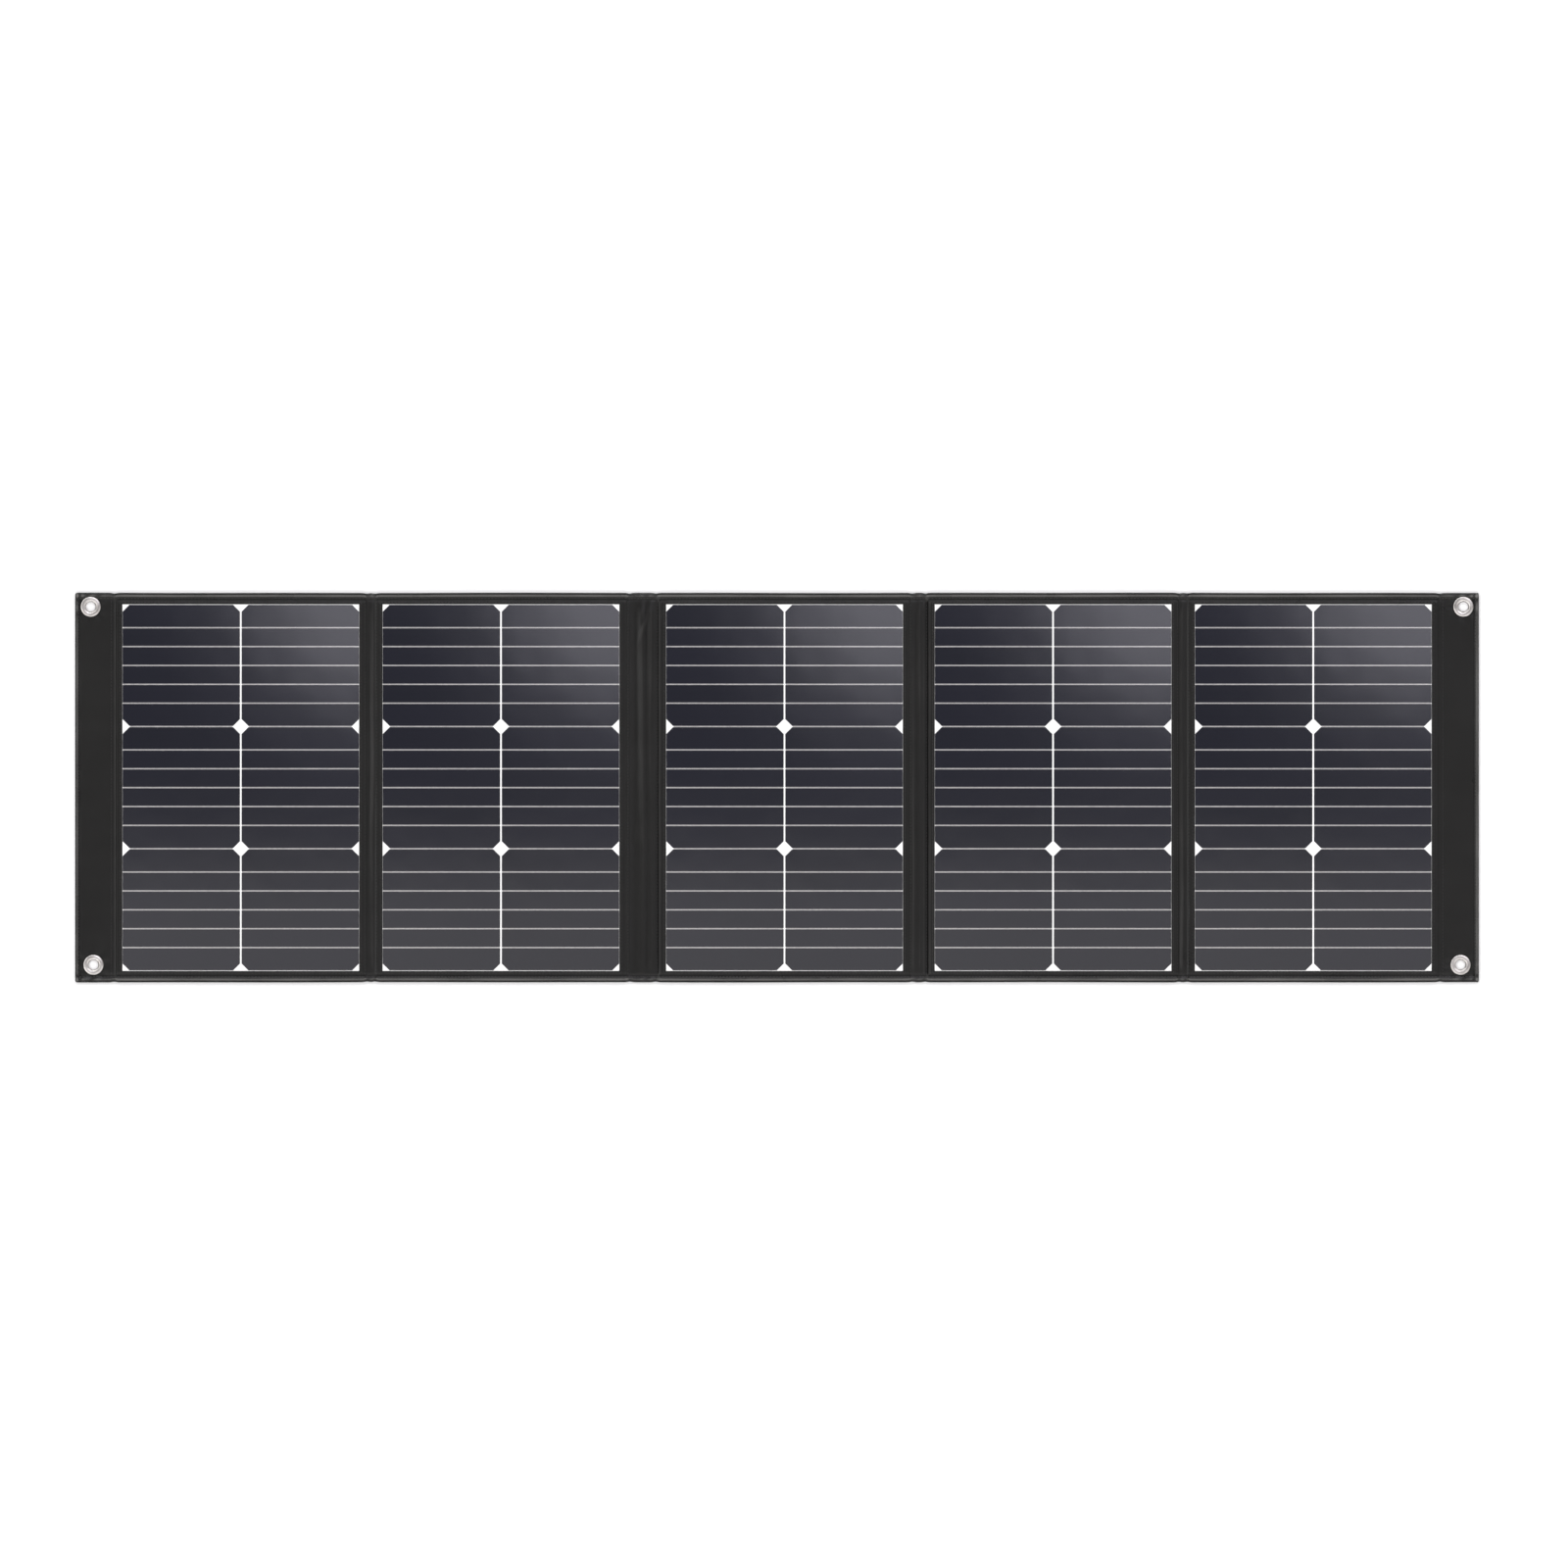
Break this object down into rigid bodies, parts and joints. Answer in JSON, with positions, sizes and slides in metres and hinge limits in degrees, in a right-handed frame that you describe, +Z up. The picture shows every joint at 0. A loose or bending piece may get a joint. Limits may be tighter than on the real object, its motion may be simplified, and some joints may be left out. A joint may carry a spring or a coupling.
{
  "type": "folding solar blanket",
  "caption": "Long flat folding solar blanket: stiff cell panels in a dark cloth carrier, joined by cloth folds that wrap shut, with an eyelet flap at each end.",
  "frame": {"origin": "under the blanket's centre, on the surface it lies on", "axes": "+X along the row of panels, +Y across it, +Z up out of the cell side"},
  "size_m": [1.505, 0.418, 0.0048],
  "materials": {
    "cloth": "matt black coated polyester oxford cloth",
    "film": "clear glossy front film",
    "cell": "blue-black silicon",
    "board": "white backing sheet",
    "foam": "grey felt padding",
    "copper": "tinned copper ribbon",
    "eyelet_metal": "bright nickel plate",
    "black_plastic": "moulded black"
  },
  "bodies": {
    "panel_1": {"panel_1_front_frame": "cloth", "panel_1_film": "film", "panel_1_cells_left": "cell", "panel_1_cells_right": "cell", "panel_1_board": "board", "panel_1_pad": "foam", "panel_1_back_cover": "cloth"},
    "panel_2": {"panel_2_front_frame": "cloth", "panel_2_film": "film", "panel_2_cells_left": "cell", "panel_2_cells_right": "cell", "panel_2_board": "board", "panel_2_pad": "foam", "panel_2_back_cover": "cloth"},
    "panel_3": {"panel_3_front_frame": "cloth", "panel_3_film": "film", "panel_3_cells_left": "cell", "panel_3_cells_right": "cell", "panel_3_board": "board", "panel_3_pad": "foam", "panel_3_back_cover": "cloth"},
    "panel_4": {"panel_4_front_frame": "cloth", "panel_4_film": "film", "panel_4_cells_left": "cell", "panel_4_cells_right": "cell", "panel_4_board": "board", "panel_4_pad": "foam", "panel_4_back_cover": "cloth"},
    "panel_5": {"panel_5_front_frame": "cloth", "panel_5_film": "film", "panel_5_cells_left": "cell", "panel_5_cells_right": "cell", "panel_5_board": "board", "panel_5_pad": "foam", "panel_5_back_cover": "cloth", "bypass_diode_board": "black_plastic", "lead_gland": "black_plastic"},
    "fold_12": {"fold_12_front_cloth": "cloth", "fold_12_back_cloth": "cloth", "fold_12_jumper": "copper"},
    "fold_23": {"fold_23_front_cloth": "cloth", "fold_23_back_cloth": "cloth", "fold_23_jumper": "copper"},
    "fold_34": {"fold_34_front_cloth": "cloth", "fold_34_back_cloth": "cloth", "fold_34_jumper": "copper"},
    "fold_45": {"fold_45_front_cloth": "cloth", "fold_45_back_cloth": "cloth", "fold_45_jumper": "copper"},
    "flap_left": {"flap_left_cloth": "cloth", "eyelet_top_left": "eyelet_metal", "washer_top_left": "eyelet_metal", "eyelet_bottom_left": "eyelet_metal", "washer_bottom_left": "eyelet_metal"},
    "flap_right": {"flap_right_cloth": "cloth", "eyelet_top_right": "eyelet_metal", "washer_top_right": "eyelet_metal", "eyelet_bottom_right": "eyelet_metal", "washer_bottom_right": "eyelet_metal"}
  },
  "joints": [
    {"name": "fold_34_inner", "type": "hinge", "parent": "panel_3", "child": "fold_34", "pos_m": [0.145, 0, 0.0024], "axis": [0, -1, 0], "range_deg": [0, 90]},
    {"name": "fold_34_outer", "type": "hinge", "parent": "fold_34", "child": "panel_4", "pos_m": [0.159, 0, 0.0024], "axis": [0, -1, 0], "range_deg": [0, 90]},
    {"name": "fold_45_inner", "type": "hinge", "parent": "panel_4", "child": "fold_45", "pos_m": [0.43125, 0, 0.0024], "axis": [0, -1, 0], "range_deg": [0, 90]},
    {"name": "fold_45_outer", "type": "hinge", "parent": "fold_45", "child": "panel_5", "pos_m": [0.43975, 0, 0.0024], "axis": [0, -1, 0], "range_deg": [0, 90]},
    {"name": "flap_right_fold", "type": "hinge", "parent": "panel_5", "child": "flap_right", "pos_m": [0.7105, 0, 0.0045], "axis": [0, -1, 0], "range_deg": [0, 180]},
    {"name": "fold_23_inner", "type": "hinge", "parent": "panel_3", "child": "fold_23", "pos_m": [-0.13, 0, 0.0024], "axis": [0, 1, 0], "range_deg": [0, 90]},
    {"name": "fold_23_outer", "type": "hinge", "parent": "fold_23", "child": "panel_2", "pos_m": [-0.158, 0, 0.0024], "axis": [0, 1, 0], "range_deg": [0, 90]},
    {"name": "fold_12_inner", "type": "hinge", "parent": "panel_2", "child": "fold_12", "pos_m": [-0.43125, 0, 0.0024], "axis": [0, 1, 0], "range_deg": [0, 90]},
    {"name": "fold_12_outer", "type": "hinge", "parent": "fold_12", "child": "panel_1", "pos_m": [-0.43975, 0, 0.0024], "axis": [0, 1, 0], "range_deg": [0, 90]},
    {"name": "flap_left_fold", "type": "hinge", "parent": "panel_1", "child": "flap_left", "pos_m": [-0.7105, 0, 0.0045], "axis": [0, 1, 0], "range_deg": [0, 180]}
  ],
  "couplings": [
    {"joint": "fold_34_outer", "follows": "fold_34_inner", "ratio": 1},
    {"joint": "fold_45_outer", "follows": "fold_45_inner", "ratio": 1},
    {"joint": "fold_23_outer", "follows": "fold_23_inner", "ratio": 1},
    {"joint": "fold_12_outer", "follows": "fold_12_inner", "ratio": 1}
  ]
}
